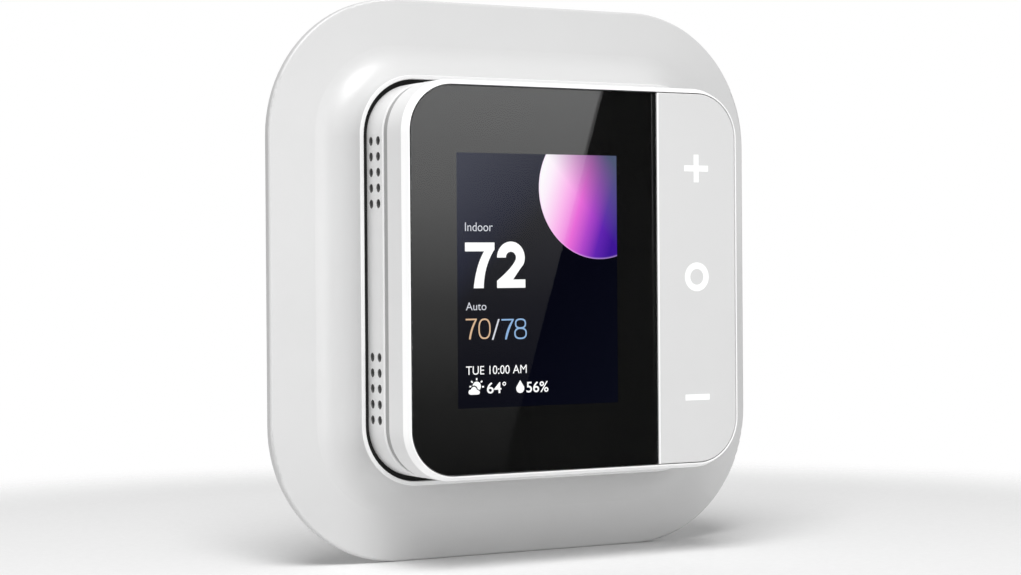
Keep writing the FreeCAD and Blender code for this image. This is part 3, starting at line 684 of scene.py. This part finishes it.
# %% Floor and world
floor_z = cad_box[0][2]
SHEET = 2                 # half the width of the paper, in metres
FIBRE = 1.5 * MM
FILL = 0.4                # how strongly the world lights things, as a share of how bright it is seen
CLEAR, GONE = 0.2, 0.3    # the paper fades into the white ground between these distances, in metres
floor_mesh = bpy.data.meshes.new("floor")
corners = [(x * SHEET, y * SHEET, floor_z) for x, y in ((-1, -1), (1, -1), (1, 1), (-1, 1))]
floor_mesh.from_pydata(corners, [], [(0, 1, 2, 3)])
paper, tree, shader = finish("white paper", {"Roughness": 0.7, "Specular IOR Level": 0.2})    # no shine
place = add(tree, "TexCoord")
fibre = add(tree, "TexNoise", {"Scale": 1 / FIBRE, "Detail": 2.0}, {"Vector": place.outputs["Object"]})
pulp = add(tree, "ValToRGB", links={"Fac": fibre.outputs["Fac"]}, stops=[(0.3, "EBEBEB"), (0.7, "EEEEEE")])
tree.links.new(pulp.outputs[0], shader.inputs["Base Color"])
far = add(tree, "VectorMath", {"operation": "LENGTH"}, {0: place.outputs["Object"]})
fade = add(tree, "MapRange", {"From Min": CLEAR, "From Max": GONE, "To Min": 1.0, "To Max": 0.0,
                              "interpolation_type": "SMOOTHSTEP"}, {"Value": far.outputs["Value"]})
tree.links.new(fade.outputs[0], shader.inputs["Alpha"])
floor_mesh.materials.append(paper)
floor = bpy.data.objects.new("floor", floor_mesh)
bpy.context.scene.collection.objects.link(floor)
print("floor at", round(floor_z / MM, 2), "mm")

# %% World
world = bpy.data.worlds.new("studio")
bpy.context.scene.world = world
world.use_nodes = True
tree = world.node_tree
tree.nodes.clear()
seen = add(tree, "LightPath")
shine = add(tree, "Background", {"Color": WHITE, "Strength": 1.0})
fill = add(tree, "Background", {"Color": WHITE, "Strength": FILL})
either = add(tree, "MixShader", links={0: seen.outputs["Is Camera Ray"], 1: fill.outputs[0],
                                       2: shine.outputs[0]})
add(tree, "OutputWorld", links={"Surface": either.outputs[0]})

# %% [markdown]
# **Light.** A large softbox hangs above, to the left and in front. It gives the bright top of the flare,
# the paler left side and the shadow that falls back to the right. A weaker one stands low and level in
# front, because the lower part of the plate faces down and would be too dark without it.

# %% Softbox


def softbox(name, place, size, watts):
    """A soft lamp with its size in metres, aimed at the middle of the object."""
    lamp = bpy.data.lights.new(name, "AREA")
    lamp.shape = "RECTANGLE"
    lamp.size, lamp.size_y = size
    lamp.energy = watts
    holder = bpy.data.objects.new(name, lamp)
    holder.location = place
    holder.rotation_euler = (-Vector(place)).to_track_quat("-Z", "Y").to_euler()
    bpy.context.scene.collection.objects.link(holder)
    print(name, "is", round(Vector(place).length, 2), "m away and gives", watts, "W")


softbox("key_light", (-0.36, -0.55, 1.05), (0.72, 0.72), 14.2)
softbox("front_light", (-0.2, -1.25, -0.1), (0.8, 0.8), 5)

# %% [markdown]
# The glass is a mirror, so it needs something to show: a tall white card with a slanting edge, brighter
# at its top, and a black flag behind it. Both glow on their own, so that their brightness can be set
# without moving the lamps. They are hidden from the camera, light no matte surface and cast no shadow.

# %% Card in the glass
CARD_AWAY = 0.2      # metres in front of the glass
FLAG_GAP = 0.002     # the flag is this much further away than the card
card_white, tree, shader = finish("white card", {"Base Color": BLACK, "Emission Strength": 1.05,
                                             "Specular IOR Level": 0.0})
place = add(tree, "TexCoord")
axes = add(tree, "SeparateXYZ", links={"Vector": place.outputs["Object"]})
level = add(tree, "MapRange", {"From Min": floor_z, "From Max": -floor_z}, {"Value": axes.outputs["Z"]})
tone = add(tree, "ValToRGB", links={"Fac": level.outputs[0]},
           stops=[(0.0, "000000"), (0.04, "383838"), (0.2, "545454"), (0.44, "8E8E8E"), (0.69, "DDDDDD"),
                  (0.96, "FFFFFF")])
tree.links.new(tone.outputs[0], shader.inputs["Emission Color"])
flag_black, tree, shader = finish("black flag", {"Base Color": BLACK, "Roughness": 0.9,
                                                 "Specular IOR Level": 0.0, "Emission Strength": 0.025,
                                                 "Emission Color": WHITE})


def card(name, corners, away, material):
    """A flat sheet in front of the glass, seen by mirrors and through glass, but not by the camera."""
    mesh = bpy.data.meshes.new(name)
    mesh.from_pydata([(x, face_y - away, z) for x, z in corners], [], [(0, 1, 2, 3)])
    mesh.materials.append(material)
    sheet = bpy.data.objects.new(name, mesh)
    bpy.context.scene.collection.objects.link(sheet)
    sheet.visible_camera = False
    sheet.visible_diffuse = False
    sheet.visible_shadow = False


LOW, HIGH = floor_z + 0.0005, 0.11    # just clear of the floor, and above the top of the head
LEFT, FAR_RIGHT = -0.02, 0.4
EDGE_X, EDGE_LEAN = 0.1131, 0.314    # where the slanting edge crosses z = 0, and how far it leans per metre
slant = [(EDGE_X + EDGE_LEAN * z, z) for z in (LOW, HIGH)]
card("white_card", [(LEFT, LOW), slant[0], slant[1], (LEFT, HIGH)], CARD_AWAY, card_white)
card("black_flag", [(LEFT, LOW), (FAR_RIGHT, LOW), (FAR_RIGHT, HIGH), (LEFT, HIGH)], CARD_AWAY + FLAG_GAP,
     flag_black)
print("card edge leans", round(degrees(atan(EDGE_LEAN)), 1), "degrees")

# %% [markdown]
# **Camera.** It stands to the left of the face, almost level with it, with a long lens. The small shift
# puts the object where it belongs in the frame without turning the camera.

# %% Camera
YAW, PITCH, ROLL = -0.51904, 0.00508, -0.00723    # radians
PLACE = Vector((-0.2950, -0.5098, 0.0021))
back = Vector((sin(YAW) * cos(PITCH), -cos(YAW) * cos(PITCH), sin(PITCH)))
right = Vector((cos(YAW), sin(YAW), 0))
up = back.cross(right)
side_axis = cos(ROLL) * right + sin(ROLL) * up
top_axis = cos(ROLL) * up - sin(ROLL) * right
lens = bpy.data.cameras.new("camera")
lens.lens = 80.7    # millimetres
lens.shift_x, lens.shift_y = 0.0067, -0.0047
camera = bpy.data.objects.new("camera", lens)
turn = Matrix((side_axis, top_axis, back)).transposed().to_4x4()
camera.matrix_world = Matrix.Translation(PLACE) @ turn
bpy.context.scene.collection.objects.link(camera)
bpy.context.scene.camera = camera
bpy.context.scene.view_settings.view_transform = "Standard"
print("camera is", round(PLACE.length, 3), "m from the middle of the plate, turned", round(degrees(YAW), 1))

# %% Sizes and the end
print("cad", [[round(v / MM, 2) for v in c] for c in cad_box])
